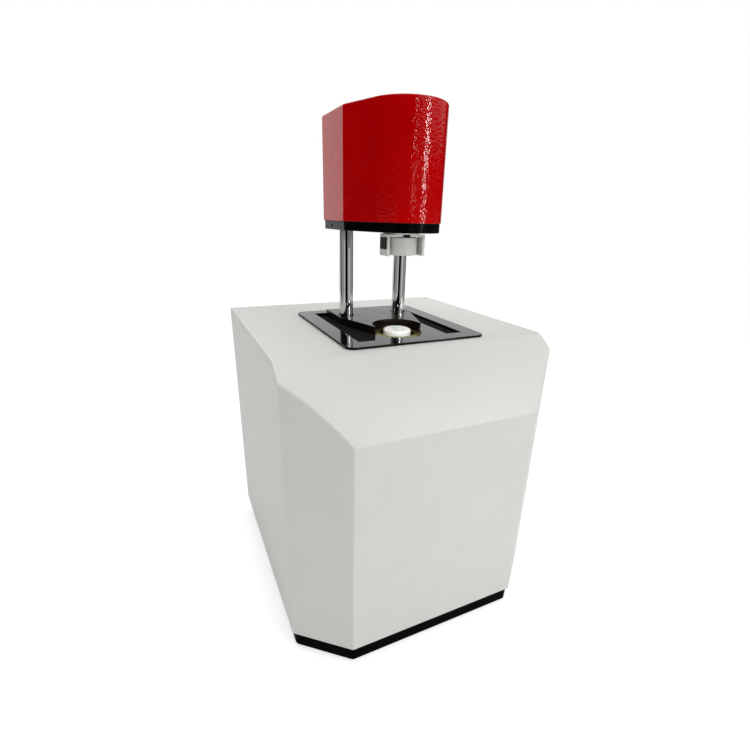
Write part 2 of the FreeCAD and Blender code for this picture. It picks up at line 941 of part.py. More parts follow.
block_top = recess_floor - size.block_sink
block_base = block_top - size.block_height
housing_base = block_base - size.housing_floor
pocket_radius = size.can_radius + size.can_clearance
pocket_floor = block_base + size.block_floor
can_base = pocket_floor


def is_block_rim(edge):
    """Whether an edge of a block half is one of the two arcs of its top."""
    return level_at(size.block_height)(edge) and edge.Length > size.block_radius.number


def make_block():
    gap = size.block_split / 2
    heater = size.heater_thickness
    heater_low = block_base + 10
    for label, side in (("block_half_left", -1), ("block_half_right", 1)):
        half = Piece(label)
        half.pad([disc(0, 0, size.block_radius)], 0, size.block_height)
        half.pocket([disc(0, 0, pocket_radius)], size.block_floor, size.block_height)
        start = -gap if side < 0 else -size.block_radius - 1
        reach = size.block_radius + 1
        cut = rectangle(start, -reach, start + reach + gap, reach)
        half.pocket([cut], -1, size.block_height + 2)
        half.fillet(size.block_edge, is_block_rim)
        if side > 0:
            spot = disc(sensor_x, 0, size.sensor_radius + 0.1)
            half.pocket([spot], size.block_height - size.sensor_length, size.sensor_length + 1)
        half.place(0, axis_y, block_base)
    heaters = Piece("band_heaters")
    inner = size.block_radius + 0.05
    heaters.pad([disc(0, 0, inner + heater), disc(0, 0, inner)], 0, size.heater_height)
    beyond = inner + heater + 1
    heaters.pocket([rectangle(-2, -beyond, 2, beyond)], -1, size.heater_height + 2)
    heaters.place(0, axis_y, heater_low)
    sensor = Piece("temperature_sensor")
    sensor.pad([disc(sensor_x, 0, size.sensor_radius)], 0, size.sensor_length - 0.5)
    sensor.place(0, axis_y, block_top - size.sensor_length)


sensor_x = (size.block_radius + pocket_radius) / 2


def make_block_housing():
    housing = Piece("block_housing")
    outer = size.housing_radius
    inner = size.insulation_radius
    flange = size.housing_flange_radius
    housing.turn([
        (0, housing_base),
        (outer, housing_base),
        (outer, plate_base - size.housing_flange),
        (flange, plate_base - size.housing_flange),
        (flange, plate_base),
        (inner, plate_base),
        (inner, block_base),
        (0, block_base),
    ])
    housing.place(0, axis_y)
    sleeve = Piece("insulation_sleeve")
    bore = size.block_radius + size.heater_thickness + 0.4
    collar = size.block_radius + size.free_clearance
    sleeve.turn([
        (bore, block_base),
        (inner - 0.2, block_base),
        (inner - 0.2, plate_base),
        (collar, plate_base),
        (collar, block_base + 10 + size.heater_height + 4),
        (bore, block_base + 10 + size.heater_height + 4),
    ])
    sleeve.place(0, axis_y)


def make_can():
    can = Piece("sample_can")
    outer = size.can_radius
    inner = outer - size.can_wall
    can.turn([
        (0, can_base),
        (outer, can_base),
        (outer, can_base + size.can_height),
        (inner, can_base + size.can_height),
        (inner, can_base + size.can_wall),
        (0, can_base + size.can_wall),
    ])
    can.place(0, axis_y)


cap_top = block_top + size.cap_proud
cap_base = cap_top - size.cap_height
paddle_base = can_base + size.can_wall + 0.3


def make_paddle():
    """Stirring paddle: round cap, stem and crossed blades, moulded in one."""
    paddle = Piece("paddle")
    cap = size.cap_radius
    edge = size.cap_edge
    stem = size.paddle_stem_radius
    paddle.turn([
        (0, paddle_base),
        (stem, paddle_base),
        (stem, cap_base),
        (cap, cap_base),
        (cap, cap_top - edge, edge),
        (cap - edge, cap_top),
        (0, cap_top),
    ])
    wide = size.paddle_blade_width / 2
    thin = size.paddle_blade_thickness / 2
    paddle.pad([rectangle(-wide, -thin, wide, thin)], paddle_base, size.paddle_blade_height)
    paddle.pad([rectangle(-thin, -wide, thin, wide)], paddle_base, size.paddle_blade_height)
    windows = [rectangle(side - 3, paddle_base + 4, side + 3, paddle_base + 15) for side in (-7.5, 7.5)]
    paddle.pocket(windows, -2, 4, along="Y")
    paddle.place(0, axis_y)


# Motor head

def head_outline(inset):
    """Straight rear and sides, then two flats that run into a round nose on the spindle axis."""
    half = size.head_width / 2
    nose = size.head_nose_radius
    down = size.head_kink - size.axis_from_front
    span = root(half * half + down * down)
    tangent = root(span * span - nose * nose)
    touch_x = nose * (half * nose + down * tangent) / (span * span)
    touch_d = nose * (half * tangent - down * nose) / (span * span)
    cos_turn = (touch_d + down) / tangent
    sin_turn = (half - touch_x) / tangent
    shift = inset * (1 - cos_turn) / sin_turn
    share = (nose - inset) / nose
    side = half - inset
    kink_y = from_front(size.head_kink) + shift
    tip_x = touch_x * share
    tip_y = axis_y - touch_d * share
    rear = from_front(size.head_rear) - inset
    return [(-side, rear), (-side, kink_y), (-tip_x, tip_y, nose - inset), (tip_x, tip_y), (side, kink_y), (side, rear)]


def is_rear_corner(edge):
    """Whether an edge is one of the head's two upright edges at the back."""
    return upright(edge) and edge.BoundBox.YMax > from_front(size.head_rear).number - 2 * size.cover_wall.number


def make_head_shell():
    plate = Piece("head_plate")
    plate.pad([head_outline(size.head_plate_inset)], head_base, size.head_plate_thickness)
    plate.fillet(size.cover_corner, is_rear_corner)
    bore = [disc(0, axis_y, size.spindle_housing_radius + 0.05)]
    plate.pocket(pair(size.column_radius, 0.02) + bore, head_base - 1, size.head_plate_thickness + 2)
    clamp_z = head_base + size.head_plate_thickness / 2
    beyond = size.head_width / 2 + 1
    hole = disc(column_y, clamp_z, size.clamp_screw_radius + 0.1)
    plate.pocket([hole], -beyond, beyond - column_x, along="X")
    plate.pocket([hole], column_x, beyond - column_x, along="X")
    plate.fillet(size.plate_edge, level_at(head_base))
    grubs = Piece("clamp_screws")
    reach = column_x + size.column_radius + 0.1
    grub = disc(column_y, clamp_z, size.clamp_screw_radius)
    grubs.pad([grub], -reach - size.clamp_screw_length, size.clamp_screw_length, along="X")
    grubs.pad([grub], reach, size.clamp_screw_length, along="X")
    gasket = Piece("head_gasket")
    gasket.pad([head_outline(1.5), head_outline(size.cover_wall + 1)], head_plate_top, size.head_seal)
    cover = Piece("head_cover")
    cover.pad([head_outline(0)], cover_base, size.cover_height)
    cover.fillet(size.cover_corner, is_rear_corner)
    cover.fillet(size.cover_edge, level_at(cover_top))
    cover.pocket([head_outline(size.cover_wall)], cover_base - 1, size.cover_height - size.cover_wall + 1)


housing_top = head_plate_top + size.spindle_flange
boss_base = head_base - size.boss_drop
mount_top = head_plate_top + size.motor_mount_height
motor_top = mount_top + size.motor_length
cup_base = head_base - size.guard_step - size.guard_height + size.cup_lift
cup_ceiling = cup_base + size.cup_depth
cup_top = cup_base + size.cup_height
guard_base = head_base - size.guard_step - size.guard_height
guard_top = head_base - size.guard_step


def make_spindle_housing():
    housing = Piece("spindle_housing")
    seat = size.ball_bearing_radius + 0.02
    outer = size.spindle_housing_radius
    housing.turn([
        (seat - 2.5, boss_base),
        (outer, boss_base),
        (outer, head_plate_top),
        (size.spindle_flange_radius, head_plate_top),
        (size.spindle_flange_radius, housing_top),
        (seat, housing_top),
        (seat, boss_base + 1),
        (seat - 2.5, boss_base + 1),
    ])
    housing.place(0, axis_y)
    bearings = Piece("spindle_bearings")
    inner = size.spindle_radius + size.running_clearance
    rings = [disc(0, 0, size.ball_bearing_radius), disc(0, 0, inner)]
    bearings.pad(rings, boss_base + 1, size.ball_bearing_height)
    bearings.pad(rings, boss_base + 1.2 + size.ball_bearing_height, size.ball_bearing_height)
    bearings.place(0, axis_y)


coupler_base = housing_top + 2


def make_spindle():
    spindle = Piece("spindle")
    stem_base = cup_ceiling + 3
    spindle.pad([disc(0, 0, size.spindle_radius)], stem_base, coupler_base + 9 - stem_base)
    spindle.place(0, axis_y)
    cup = Piece("coupling_cup")
    seat = size.spindle_radius + 0.02
    edge = size.cup_edge
    cup.turn([
        (size.cup_bore_radius, cup_base),
        (size.cup_radius - edge, cup_base),
        (size.cup_radius, cup_base + edge),
        (size.cup_radius, cup_top - edge),
        (size.cup_radius - edge, cup_top),
        (seat, cup_top),
        (seat, stem_base),
        (0, stem_base),
        (0, cup_ceiling),
        (size.cup_bore_radius, cup_ceiling),
    ])
    cup.place(0, axis_y)
    coupler = Piece("shaft_coupler")
    coupler.turn([
        (seat, coupler_base),
        (size.coupler_radius, coupler_base),
        (size.coupler_radius, coupler_base + size.coupler_height),
        (size.motor_shaft_radius + 0.02, coupler_base + size.coupler_height),
        (size.motor_shaft_radius + 0.02, coupler_base + 11),
        (seat, coupler_base + 9),
    ])
    coupler.place(0, axis_y)
    shaft = Piece("motor_shaft")
    shaft_base = coupler_base + 11
    shaft.pad([disc(0, 0, size.motor_shaft_radius)], shaft_base, motor_top + size.motor_shaft_spare - shaft_base)
    shaft.place(0, axis_y)
    encoder = Piece("encoder_disc")
    hub = size.motor_shaft_radius + 0.02
    low = motor_top + 4
    encoder.turn([
        (hub, low),
        (6, low),
        (6, low + 2),
        (size.encoder_radius, low + 2),
        (size.encoder_radius, low + 2 + size.encoder_thickness),
        (hub, low + 2 + size.encoder_thickness),
    ])
    encoder.place(0, axis_y)


def make_motor():
    half = size.motor_width / 2
    motor = Piece("drive_motor")
    motor.pad([rectangle(-half, -half, half, half)], mount_top, size.motor_length)
    motor.fillet(size.motor_corner, upright)
    bore = [disc(0, 0, size.motor_shaft_radius + size.free_clearance)]
    motor.pocket(bore, mount_top - 1, size.motor_length + 2)
    motor.place(0, axis_y)
    mount = Piece("motor_mount")
    wall = size.motor_mount_wall
    low = head_plate_top
    mount.pad([rectangle(-half, -half, half, half)], low, size.motor_mount_height)
    mount.pocket([rectangle(wall - half, -half - 1, half - wall, half + 1)], low + wall, size.motor_mount_height - 2 * wall)
    mount.pocket([disc(0, 0, size.spindle_flange_radius + size.free_clearance)], low - 1, wall + 1)
    mount.pocket([disc(0, 0, 11.5)], mount_top - wall - 1, wall + 2)
    mount.place(0, axis_y)


def make_guard():
    """White guard round the coupling, round behind and open to the front and below."""
    guard = Piece("coupling_guard")
    outer = size.guard_radius
    inner = outer - size.guard_wall
    reach = size.guard_reach
    height = size.guard_height
    lid = 2.4
    guard.pad([disc(0, 0, outer)], 0, height)
    guard.pad([rectangle(-outer, -reach, outer, 0)], 0, height)
    guard.pocket([rectangle(-outer - 1, -outer - 2, outer + 1, -reach)], -1, height + 2)
    guard.pocket([disc(0, 0, inner)], -1, height - lid + 1)
    guard.pocket([rectangle(-inner, -reach - 1, inner, 0)], -1, height - lid + 1)
    guard.pocket([disc(0, 0, size.spindle_housing_radius + 0.3)], height - lid - 1, lid + 2)
    seat = outer - 3
    guard.pad([disc(0, 0, seat), disc(0, 0, size.spindle_housing_radius + 0.3)], height, size.guard_step)
    guard.pocket([window_box(0)], -outer - 1, size.guard_wall + 3, along="X")
    notch = size.foot_notch / 2
    middle = -reach / 2
    guard.pocket([rectangle(middle - notch, -1, middle + notch, notch)], -outer - 1, size.guard_wall + 3, along="X")
    guard.place(0, axis_y, guard_base)
    button = Piece("release_button")
    face = window_box(size.free_clearance)
    deep = size.guard_wall + size.button_proud + 0.2
    button.pad([face], -outer - size.button_proud, deep, along="X")
    (near, low), (far, high) = face[0], face[2]
    shoulder = rectangle(near, low - size.button_lip, far, high + size.button_lip)
    button.pad([shoulder], -outer - size.button_proud + deep, size.button_shoulder, along="X")
    button.place(0, axis_y, guard_base)


def window_box(margin):
    """Button window in the guard's left wall, as (y, z) corners on the guard's own axes."""
    front = size.window_start - size.window_length / 2
    rear = size.window_start + size.window_length / 2
    low = size.window_low
    return rectangle(front + margin, low + margin, rear - margin, low + size.window_height - margin)


# Rear services

def make_fan():
    half = size.fan_size / 2
    centre_z = case_base + size.fan_height
    rear = rear_y - size.sheet_thickness
    frame = Piece("fan_frame")
    frame.pad([rectangle(-half, -half, half, half)], -size.fan_depth, size.fan_depth)
    frame.fillet(4, upright)
    frame.pocket([disc(0, 0, half - 2)], 4 - size.fan_depth, size.fan_depth)
    frame.pocket([disc(0, 0, half - 2), disc(0, 0, 17)], -size.fan_depth - 1, 6)
    frame.pad([rectangle(-half + 1, -2, -16, 2), rectangle(16, -2, half - 1, 2)], -size.fan_depth, 3)
    rotation = FreeCAD.Rotation(FreeCAD.Vector(1, 0, 0), -90)
    frame.place(fan_x, rear, centre_z, rotation)
    impeller = Piece("fan_impeller")
    impeller.pad([disc(0, 0, 16)], 4.3 - size.fan_depth, size.fan_depth - 6.3)
    blade = [(10, -1), (half - 4, 2), (half - 4, 3.6), (10, 1)]
    impeller.pad([blade], 6 - size.fan_depth, size.fan_depth - 9)
    impeller.ring(7)
    impeller.place(fan_x, rear, centre_z, rotation)


def make_inlet():
    """Mains inlet: flanged moulding with a deep mouth and three flat pins."""
    inlet = Piece("mains_inlet")
    left, low, right, high = inlet_box(0)
    rim = size.inlet_flange
    deep = size.inlet_depth - 6
    inlet.pad([rectangle(left, low, right, high)], rear_y - size.inlet_depth, size.inlet_depth, along="Y")
    inlet.pad([rectangle(left - rim, low - rim, right + rim, high + rim)], rear_y, 2, along="Y")
    inlet.fillet(rim / 2, across_flange)
    inlet.pocket([rectangle(left + 1.8, low + 2.2, right - 1.8, high - 2.2)], rear_y - deep, deep + 3, along="Y")
    pins = [rectangle(inlet_x + x - 1, inlet_z - 2, inlet_x + x + 1, inlet_z + 2) for x in (-7, 0, 7)]
    inlet.pad(pins, rear_y - deep, 10, along="Y")


def across_flange(edge):
    """Whether an edge runs through the thickness of a flange on the rear panel."""
    box = edge.BoundBox
    return box.XLength < 0.001 and box.ZLength < 0.001 and box.YMin > rear_y.number - 0.001


def make_switch():
    """Mains switch: flanged frame and a rocker that is tilted to off."""
    frame = Piece("switch_frame")
    left, low, right, high = switch_box(0)
    rim = size.switch_flange
    frame.pad([rectangle(left, low, right, high)], rear_y - size.switch_depth, size.switch_depth, along="Y")
    frame.pad([rectangle(left - rim, low - rim, right + rim, high + rim)], rear_y, rim, along="Y")
    mouth = rectangle(left + 1.2, low + 1.2, right - 1.2, high - 1.2)
    frame.pocket([mouth], rear_y - 9, 12, along="Y")
    rocker = Piece("switch_rocker")
    reach = size.rocker_reach
    outline = [(-reach, 3.9), (-reach, -1.5), (0, -2.5), (reach, -1.5), (reach, 3.9), (0, 2.6)]
    rocker.pad([outline], 1.5 - size.switch_tall / 2, size.switch_tall - 3)
    off = FreeCAD.Rotation(FreeCAD.Vector(0, 0, -1), size.rocker_swing.number)
    rocker.place(switch_x, rear_y - 0.8, inlet_z, off)
    bind(rocker.body, "Placement.Rotation.Angle", size.rocker_swing)


def make_port():
    """Data port: a metal shell with its tongue."""
    port = Piece("data_port")
    left, low, right, high = port_box(0)
    port.pad([rectangle(left, low, right, high)], rear_y - size.port_depth, size.port_depth + 0.8, along="Y")
    port.pocket([rectangle(left + 1.6, low + 1.4, right - 1.6, high - 1.4)], rear_y - 9, 12, along="Y")
    port.pad([rectangle(left + 3.2, low + 3.6, right - 3.2, high - 3.6)], rear_y - 9, 4, along="Y")


def make_stubs():
    """Two plain hose stubs through the rear panel, for the block's cooling water."""
    stubs = Piece("coolant_stubs")
    neck = size.stub_radius + 1
    inside = size.sheet_thickness + size.stub_nut
    shank = size.stub_shank
    stubs.pad([disc(x, stub_z, size.stub_collar_radius) for x in stub_places], rear_y, size.stub_collar, along="Y")
    stubs.pad([disc(x, stub_z, size.stub_radius) for x in stub_places], rear_y, size.stub_length, along="Y")
    stubs.pad([disc(x, stub_z, neck) for x in stub_places], rear_y - shank, shank, along="Y")
    nuts = [disc(x, stub_z, size.stub_collar_radius) for x in stub_places]
    stubs.pad(nuts, rear_y - inside, size.stub_nut, along="Y")
    bores = [disc(x, stub_z, size.stub_bore_radius) for x in stub_places]
    stubs.pocket(bores, rear_y - shank - 1, size.stub_length + shank + 2, along="Y")


def plug_spans(half):
    """Where the board's two connectors start and end across it."""
    return [(-0.9 * half, -0.4 * half), (-0.25 * half, 0.25 * half)]


def make_electronics():
    board = Piece("control_board")
    low = floor_top + size.standoff_height
    half = size.board_width / 2
    front = from_front(size.board_from_front) - size.board_depth / 2
    back = front + size.board_depth
    board.pad([rectangle(-half, front, half, back)], low, size.board_thickness)
    top = low + size.board_thickness
    near = front + size.chip_margin
    chip = size.chip_width
    left_chip = rectangle(-0.8 * half, near, -0.8 * half + chip, near + chip)
    middle_chip = rectangle(-0.3 * half, near, -0.3 * half + chip, near + 0.7 * chip)
    board.pad([left_chip, middle_chip], top, size.chip_height)
    middle = (front + back) / 2
    radius = size.capacitor_radius
    cans = [(0.4 * half, near + radius), (0.7 * half, near + radius), (0.7 * half, middle + 1.5 * radius)]
    board.pad([disc(x, y, radius) for x, y in cans], top, size.capacitor_height)
    far = back - size.connector_margin
    plugs = [rectangle(low, far - size.connector_depth, high, far) for low, high in plug_spans(half)]
    board.pad(plugs, top, size.connector_height)
    corner = size.standoff_inset
    spots = [(x, y) for x in (corner - half, half - corner) for y in (front + corner, back - corner)]
    standoffs = Piece("board_standoffs")
    standoffs.pad([disc(x, y, size.standoff_radius) for x, y in spots], floor_top, size.standoff_height)
    supply = Piece("power_supply")
    left = size.supply_from_side - half_width
    rear = rear_y - size.supply_from_rear
    outline = rectangle(left, rear - size.supply_depth, left + size.supply_width, rear)
    supply.pad([outline], floor_top, size.supply_height)
    slots = rectangle(left - 1, rear - 20, left + size.supply_width + 1, rear - 16)
    supply.pocket([slots], floor_top + size.supply_height - 3, 4)
    supply.row(8, 80, "V_Axis")


# Fasteners

def make_rear_screws():
    """Six identical button-head screws that hold the rear panel to the side panels."""
    screws = Piece("rear_screws")
    heads = [disc(x, z, size.screw_head_radius) for x, z in rear_screw_places()]
    shanks = [disc(x, z, size.screw_radius) for x, z in rear_screw_places()]
    screws.pad(heads, rear_y, size.screw_head_height, along="Y")
    screws.fillet(size.screw_head_height / 2, outermost)
    screws.pad(shanks, rear_y - size.screw_length, size.screw_length, along="Y")


def outermost(edge):
    """Whether an edge lies on the outer faces of the rear screw heads."""
    box = edge.BoundBox
    return box.YLength < 0.001 and box.YMax > (rear_y + size.screw_head_height).number - 0.001


make_base()
make_side_panel("side_panel_left", -1)
make_side_panel("side_panel_right", 1)
make_front_cover()
make_rear_panel()
make_rear_screws()
make_spill_tray()
make_deck()
make_lift_frame()
make_bearings("upper_bearings", upper_bearing_base, plate_base - size.bearing_flange)
make_bearings("lower_bearings", lower_bearing_top - size.bearing_length, guide_base + size.guide_plate_thickness)
make_buffers("top_buffers", yoke_top, 0.1)
make_buffers("bottom_buffers", lower_bearing_top, size.free_clearance)
make_columns()
make_yoke()
make_gas_spring()
make_block()
make_block_housing()
make_can()
make_paddle()
make_head_shell()
make_spindle_housing()
make_spindle()
make_motor()
make_guard()
make_fan()
make_inlet()
make_switch()
make_port()
make_stubs()
make_electronics()
doc.recompute()


def check(document, solids):
    """Stops the build where an object failed or a piece is not a sound solid."""
    for item in document.Objects:
        if "Invalid" in item.State or "Error" in item.State:
            raise RuntimeError(f"{item.Name} failed: {item.State}")
    for item in solids:
        if item.Shape.isNull() or not item.Shape.isValid() or item.Shape.Volume <= 0:
            raise RuntimeError(f"{item.Label} is not a sound solid")


check(doc, pieces)
os.makedirs("parts", exist_ok=True)
for piece in pieces:
    piece.Shape.exportStep(f"parts/{piece.Label}.step")
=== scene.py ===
import json
import math

import bpy
from mathutils import Matrix, Vector


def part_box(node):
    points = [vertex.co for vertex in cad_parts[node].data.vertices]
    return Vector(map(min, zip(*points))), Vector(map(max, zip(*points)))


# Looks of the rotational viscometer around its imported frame. Metres, Z up, the front is -Y.

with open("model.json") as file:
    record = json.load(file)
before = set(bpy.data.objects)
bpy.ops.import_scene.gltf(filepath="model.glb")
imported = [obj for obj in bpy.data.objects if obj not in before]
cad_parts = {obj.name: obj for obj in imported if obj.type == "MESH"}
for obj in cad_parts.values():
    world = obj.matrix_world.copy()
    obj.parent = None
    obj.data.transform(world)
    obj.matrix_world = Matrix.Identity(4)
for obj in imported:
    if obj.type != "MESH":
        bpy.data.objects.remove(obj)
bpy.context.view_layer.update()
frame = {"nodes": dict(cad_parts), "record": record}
nodes = frame["nodes"]
slots = {part["node"]: part["material_slot"] for part in frame["record"]["subparts"]}


# Camera, at the photograph's viewing angle

CAMERA_PLACE = Vector((-0.2216, -0.4639, 0.4308))
CAMERA_YAW = math.radians(-25.75)
CAMERA_PITCH = math.radians(20.97)
CAMERA_ROLL = math.radians(1.56)
CAMERA_SENSOR = 36
CAMERA_LENS = 21.144
CAMERA_SHIFT = (-0.0056, 0.0156)
CAMERA_NEAR = 0.01


def make_camera():
    """The camera looks along its yaw and down by its pitch, and is rolled slightly."""
    level = math.cos(CAMERA_PITCH)
    ahead = Vector((-math.sin(CAMERA_YAW) * level, math.cos(CAMERA_YAW) * level, -math.sin(CAMERA_PITCH)))
    right = Vector((math.cos(CAMERA_YAW), math.sin(CAMERA_YAW), 0))
    up = right.cross(ahead)
    across = math.cos(CAMERA_ROLL) * right + math.sin(CAMERA_ROLL) * up
    upward = math.cos(CAMERA_ROLL) * up - math.sin(CAMERA_ROLL) * right
    turn = Matrix((across, upward, -ahead)).transposed().to_4x4()
    data = bpy.data.cameras.new("camera")
    data.sensor_width = CAMERA_SENSOR
    data.lens = CAMERA_LENS
    data.shift_x, data.shift_y = CAMERA_SHIFT
    data.clip_start = CAMERA_NEAR
    camera = bpy.data.objects.new("camera", data)
    camera.matrix_world = Matrix.Translation(CAMERA_PLACE) @ turn
    bpy.context.collection.objects.link(camera)
    bpy.context.scene.camera = camera


# Shader nodes that materials and the world share

def math_node(tree, operation, first, second):
    """The result of an operation on two values, each a number or a socket."""
    made = tree.nodes.new("ShaderNodeMath")
    made.operation = operation
    for index, value in enumerate((first, second)):
        if isinstance(value, (int, float)):
            made.inputs[index].default_value = value
        else:
            tree.links.new(value, made.inputs[index])
    return made.outputs[0]


def range_node(tree, value, start, end, low, high, kind):
    """Carries `value` from low at `start` to high at `end`, and holds it beyond both."""
    made = tree.nodes.new("ShaderNodeMapRange")
    made.interpolation_type = kind
    for name, number in (("From Min", start), ("From Max", end), ("To Min", low), ("To Max", high)):
        made.inputs[name].default_value = number
    tree.links.new(value, made.inputs["Value"])
    return made.outputs["Result"]


def step_node(tree, value, start, end, low=0.0, high=1.0):
    """A smooth step of `value` from low at `start` to high at `end`."""
    return range_node(tree, value, start, end, low, high, "SMOOTHSTEP")


# Materials

WHITE = (1, 1, 1, 1)
EVEN = (1, 1, 1)
TURNED = (1, 1, 0.04)
DRAWN = (1, 1, 0.05)

# Where the spill tray is satin below its rim: left of a slanted line, right of a straight one, and on
# the rim's front edge.
SATIN_LEFT = -0.0285
SATIN_SLANT = 0.45
SATIN_RIGHT = 0.047
SATIN_BLUR = 0.0005
SATIN_FRONT = 0.002
SATIN_FRONT_BLUR = 0.001
SATIN_DEPTH = 0.0004
SATIN_DEPTH_BLUR = 0.0003
SATIN_ROUGHNESS = 0.9


def grey(level):
    return (level, level, level)


class Look:
    """A material that is built up from one Principled shader."""

    def __init__(self, name, color, roughness, metallic=0.0, **sockets):
        self.material = bpy.data.materials.new(name)
        self.material.use_nodes = True
        self.tree = self.material.node_tree
        self.shader = self.tree.nodes["Principled BSDF"]
        self.color = color
        self.shader.inputs["Base Color"].default_value = (*color, 1)
        self.shader.inputs["Roughness"].default_value = roughness
        self.shader.inputs["Metallic"].default_value = metallic
        for socket, value in sockets.items():
            self.shader.inputs[socket.replace("_", " ")].default_value = value
        self.normal = None

    def node(self, kind, **values):
        """A new node, with values given to its sockets or, failing that, its settings."""
        made = self.tree.nodes.new(kind)
        for name, value in values.items():
            if name in made.inputs:
                made.inputs[name].default_value = value
            else:
                setattr(made, name, value)
        return made

    def link(self, source, target):
        self.tree.links.new(source, target)

    def place(self, stretch=EVEN):
        """Coordinates on the object in metres, stretched along its axes."""
        spot = self.node("ShaderNodeTexCoord")
        mapping = self.node("ShaderNodeMapping", Scale=stretch)
        self.link(spot.outputs["Object"], mapping.inputs["Vector"])
        return mapping.outputs["Vector"]

    def noise(self, size, detail=2.0, rough=0.5, stretch=EVEN):
        """Noise whose features are about `size` metres across."""
        made = self.node("ShaderNodeTexNoise", Scale=1 / size, Detail=detail, Roughness=rough)
        self.link(self.place(stretch), made.inputs["Vector"])
        return made.outputs["Fac"]

    def cells(self, size):
        """Rounded cells about `size` metres across, as of hammered or leather-like paint."""
        made = self.node("ShaderNodeTexVoronoi", Scale=1 / size, feature="SMOOTH_F1", Smoothness=0.6)
        self.link(self.place(), made.inputs["Vector"])
        return made.outputs["Distance"]

    def math(self, operation, first, second):
        return math_node(self.tree, operation, first, second)

    def step(self, value, start, end):
        return step_node(self.tree, value, start, end)

    def remap(self, source, low, high, start=0.3, end=0.7):
        return range_node(self.tree, source, start, end, low, high, "LINEAR")

    def bump(self, height, depth, strength):
        """Adds relief of about `depth` metres to what is there already."""
        made = self.node("ShaderNodeBump", Strength=strength, Distance=depth)
        self.link(height, made.inputs["Height"])
        if self.normal:
            self.link(self.normal, made.inputs["Normal"])
        self.normal = made.outputs["Normal"]
        self.link(self.normal, self.shader.inputs["Normal"])

    def vary_color(self, source, darker, lighter, start=0.3, end=0.7):
        """Shifts the base colour between a darker and a lighter shade of itself."""
        mix = self.node("ShaderNodeMix", data_type="RGBA")
        ends = [socket for socket in mix.inputs if socket.type == "RGBA"]
        for socket, share in zip(ends, (darker, lighter)):
            socket.default_value = tuple(min(part * share, 1) for part in self.color) + (1,)
        self.link(self.remap(source, 0, 1, start, end), mix.inputs["Factor"])
        result = [socket for socket in mix.outputs if socket.type == "RGBA"][0]
        self.link(result, self.shader.inputs["Base Color"])

    def vary_roughness(self, source, low, high):
        self.link(self.remap(source, low, high), self.shader.inputs["Roughness"])


def powder_coat():
    """Cream-white fine-texture powder coat of the sheet metal."""
    look = Look("casing_powder_coat", (0.80, 0.815, 0.77), 0.4, Specular_IOR_Level=0.5)
    look.vary_color(look.noise(0.05, 3), 0.985, 1.01)
    look.vary_roughness(look.noise(0.0012), 0.34, 0.5)
    look.bump(look.noise(0.0015, rough=0.6), 0.00016, 0.7)
    look.bump(look.noise(0.006), 0.0001, 0.25)
    return look


def red_enamel():
    """Glossy red paint with a fine pebbled relief that breaks highlights into grains."""
    look = Look("head_red_enamel", (0.54, 0.0, 0.0005), 0.07, Specular_IOR_Level=0.3)
    look.vary_color(look.noise(0.03, 3), 0.95, 1.03)
    look.vary_roughness(look.noise(0.0014), 0.04, 0.08)
    look.bump(look.cells(0.0023), 0.0003, 0.6)
    look.bump(look.noise(0.0021, 1), 0.00024, 0.8)
    return look


def polished_black():
    """Black polished tray, satin where the sunk floor lies beside the deck and on the rim's front edge."""
    look = Look("tray_polished_black", grey(0.003), 0.06, IOR=1.35)
    fine = look.remap(look.noise(0.02, 4, 0.6), 0.05, 0.11)
    place = look.node("ShaderNodeSeparateXYZ")
    look.link(look.place(), place.inputs[0])
    x, y, z = (place.outputs[axis] for axis in "XYZ")
    low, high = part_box("spill_tray")
    deck_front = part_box("deck_plate")[0][1]
    rim = high[2] - SATIN_DEPTH
    front_edge = low[1] + SATIN_FRONT
    sunk = look.step(z, rim, rim - SATIN_DEPTH_BLUR)
    ahead = look.math("MAXIMUM", look.math("SUBTRACT", deck_front, y), 0.0)
    slanted = look.math("ADD", x, look.math("MULTIPLY", ahead, SATIN_SLANT))
    left = look.step(slanted, SATIN_LEFT + SATIN_BLUR, SATIN_LEFT)
    right = look.step(x, SATIN_RIGHT, SATIN_RIGHT + SATIN_BLUR)
    front = look.step(y, front_edge + SATIN_FRONT_BLUR, front_edge)
    beside = look.math("MAXIMUM", look.math("MAXIMUM", left, right), front)
    satin = look.math("MULTIPLY", sunk, beside)
    added = look.math("MULTIPLY", satin, SATIN_ROUGHNESS)
    look.link(look.math("ADD", fine, added), look.shader.inputs["Roughness"])
    look.bump(look.noise(0.03), 0.00004, 0.3)
    return look


def satin_deck():
    """Black coated plate of the deck, duller than the tray, with a warm cast."""
    look = Look("deck_satin_black", (0.009, 0.006, 0.004), 0.22, IOR=1.32)
    look.vary_color(look.noise(0.03, 3), 0.85, 1.2)
    look.vary_roughness(look.noise(0.015, 3), 0.18, 0.26)
    look.bump(look.noise(0.002), 0.00001, 0.4)
    return look


def ground_chrome():
    """Hard chrome on ground shafts: fine rings round the shaft and a few vertical wipe marks."""
    rings = (0.03, 0.03, 1)
    wipes = (1, 1, 0.25)
    look = Look("column_hard_chrome", (0.72, 0.725, 0.715), 0.05, 1.0)
    look.vary_roughness(look.noise(0.01, 3, 0.6, wipes), 0.02, 0.05)
    look.bump(look.noise(0.0006, stretch=rings), 0.00001, 0.25)
    return look


def natural_plastic(name, color, roughness, coat=0.0):
    """Pale moulded plastic that lets a little light into its surface."""
    look = Look(name, color, roughness, Subsurface_Weight=0.12, Subsurface_Scale=0.002, Coat_Weight=coat)
    look.vary_color(look.noise(0.012, 3), 0.965, 1.02)
    look.vary_roughness(look.noise(0.002, 3), roughness - 0.06, roughness + 0.08)
    look.bump(look.noise(0.0009), 0.000015, 0.3)
    return look


